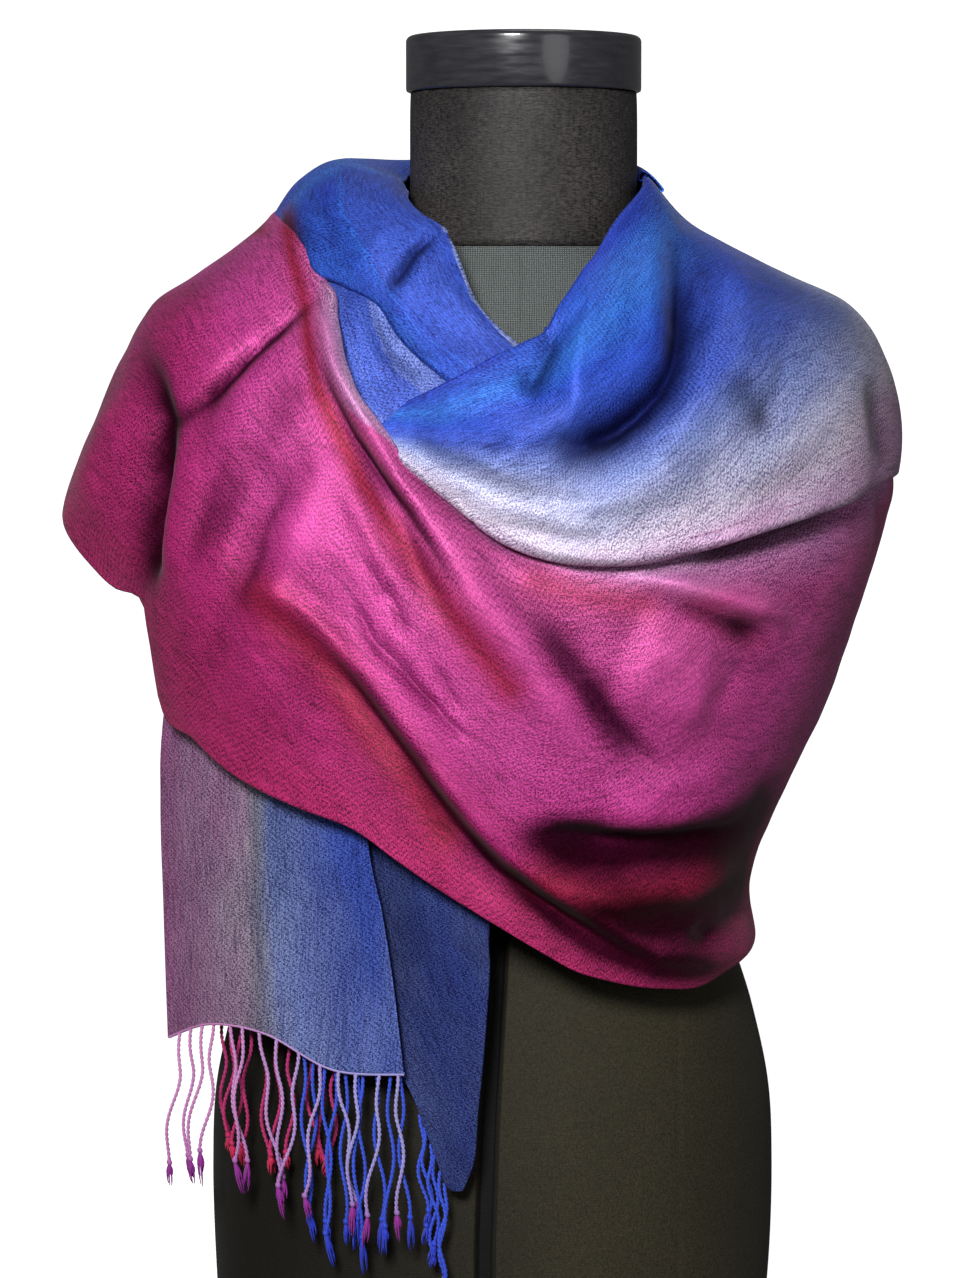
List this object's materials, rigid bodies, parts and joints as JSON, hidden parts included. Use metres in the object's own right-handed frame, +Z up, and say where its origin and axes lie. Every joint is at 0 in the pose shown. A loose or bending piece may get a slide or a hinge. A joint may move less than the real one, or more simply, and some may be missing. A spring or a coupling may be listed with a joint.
{
  "type": "fringed shawl scarf on a limbless dress form",
  "caption": "Wide ombre shawl scarf with twisted fringe, wound over both shoulders of a limbless dress form, its ends hanging in front and behind.",
  "frame": {"origin": "on the dress form's flat base, straight below the axis of its neck", "axes": "+Z up, front of the form faces -Y, +X is the viewer's right as seen from the front"},
  "size_m": [0.424, 0.2983, 0.726],
  "materials": {
    "shawl_cloth": "soft twill with a silky sheen, blue to magenta across its width",
    "fringe_yarn": "twisted yarn, each strand with a knot and a tuft",
    "form_cover": "dark stretch knit, open weave over the chest",
    "neck_cover": "fine dark net over the neck block",
    "neck_cap": "gloss charcoal"
  },
  "bodies": {
    "root": {"form_torso": "form_cover", "form_neck": "neck_cover", "form_neck_cap": "neck_cap", "scarf_front_tail": "shawl_cloth", "scarf_tail_turn": "shawl_cloth", "scarf_tail_behind": "shawl_cloth", "scarf_inner_fold": "shawl_cloth", "scarf_collar": "shawl_cloth", "scarf_back_wrap": "shawl_cloth", "scarf_cowl": "shawl_cloth", "scarf_front_wrap": "shawl_cloth", "scarf_shoulder_throw": "shawl_cloth", "scarf_back_tail": "shawl_cloth", "fringe_front_lavender": "fringe_yarn", "fringe_front_blue": "fringe_yarn", "fringe_front_magenta": "fringe_yarn", "fringe_front_corner": "fringe_yarn", "fringe_back": "fringe_yarn"}
  },
  "joints": []
}
